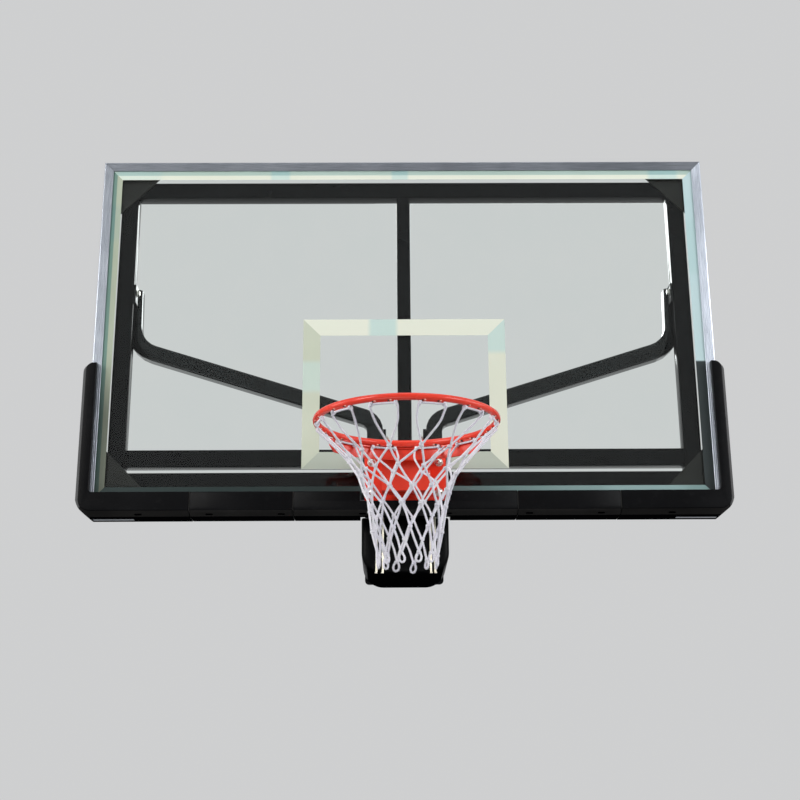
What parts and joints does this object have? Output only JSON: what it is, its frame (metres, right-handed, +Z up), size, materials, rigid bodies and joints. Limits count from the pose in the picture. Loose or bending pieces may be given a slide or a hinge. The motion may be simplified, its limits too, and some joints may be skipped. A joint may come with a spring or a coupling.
{
  "type": "basketball hoop",
  "caption": "Glass basketball backboard with aluminium frame, steel sub-frame and edge pads, a sprung breakaway rim with its cord net, and the padded head of its support arm.",
  "frame": {"origin": "centre of the rear face of the arm's bolting flange, where the head is bolted to its arm", "axes": "+Y out of the flange, away from the court; +Z up; +X to the right for someone facing the board; the court is at -Y"},
  "size_m": [1.86, 1.019, 1.2966],
  "materials": {
    "clear_glass": "clear tempered glass, faint green, white printed lines",
    "brushed_aluminium": "fine ridged, satin",
    "black_steel": "gloss powder coat",
    "grey_steel": "satin, dark",
    "orange_paint": "gloss powder coat",
    "zinc_plate": "zinc plate",
    "black_rubber": "matte",
    "black_foam": "fine-grained skin, satin",
    "white_nylon": "matte",
    "white_cord": "twisted cord"
  },
  "bodies": {
    "board": {"glass_panel": "clear_glass", "glazing_gasket": "black_rubber", "frame_top": "brushed_aluminium", "frame_bottom": "brushed_aluminium", "frame_left": "brushed_aluminium", "frame_right": "brushed_aluminium", "glass_bush_1": "white_nylon", "glass_bush_2": "white_nylon", "glass_bush_3": "white_nylon", "glass_bush_4": "white_nylon", "tube_left": "black_steel", "tube_right": "black_steel", "tube_top": "black_steel", "tube_centre": "black_steel", "tube_bottom_left": "black_steel", "tube_bottom_right": "black_steel", "lower_beam_left": "black_steel", "lower_beam_right": "black_steel", "gusset_bottom_left": "grey_steel", "gusset_bottom_right": "grey_steel", "gusset_top_left": "grey_steel", "gusset_top_right": "grey_steel", "brace_left": "black_steel", "brace_right": "black_steel", "brace_bolt_top_left": "zinc_plate", "brace_bolt_top_right": "zinc_plate", "brace_bolt_foot_left": "zinc_plate", "brace_bolt_foot_right": "zinc_plate", "mount_gasket": "black_rubber", "rear_gasket": "black_rubber", "rim_bolt_1": "zinc_plate", "rim_bolt_2": "zinc_plate", "rim_bolt_3": "zinc_plate", "rim_bolt_4": "zinc_plate", "dome_nut_1": "zinc_plate", "dome_nut_2": "zinc_plate", "dome_nut_3": "zinc_plate", "dome_nut_4": "zinc_plate", "base_plate": "orange_paint", "hinge_pin": "zinc_plate", "spring_left": "zinc_plate", "spring_right": "zinc_plate", "arm_head": "black_steel", "arm_pad": "black_foam", "hanging_rod_1": "zinc_plate", "hanging_rod_2": "zinc_plate", "hanging_rod_3": "zinc_plate", "hanging_rod_4": "zinc_plate", "pad_bottom_left": "black_foam", "pad_bottom_centre": "black_foam", "pad_bottom_right": "black_foam", "pad_corner_left": "black_foam", "pad_corner_right": "black_foam"},
    "rim": {"rim_housing": "orange_paint", "support_plate": "orange_paint", "skirt_band": "orange_paint", "ring": "orange_paint", "net": "white_cord"}
  },
  "joints": [
    {"name": "rim_tilt", "type": "hinge", "parent": "board", "child": "rim", "pos_m": [0, -0.44, 0.11], "axis": [1, 0, 0], "range_deg": [0, 30], "stiffness_Nm_per_rad": 800, "springref_deg": -40.11, "deforming": ["spring_left", "spring_right"]}
  ]
}
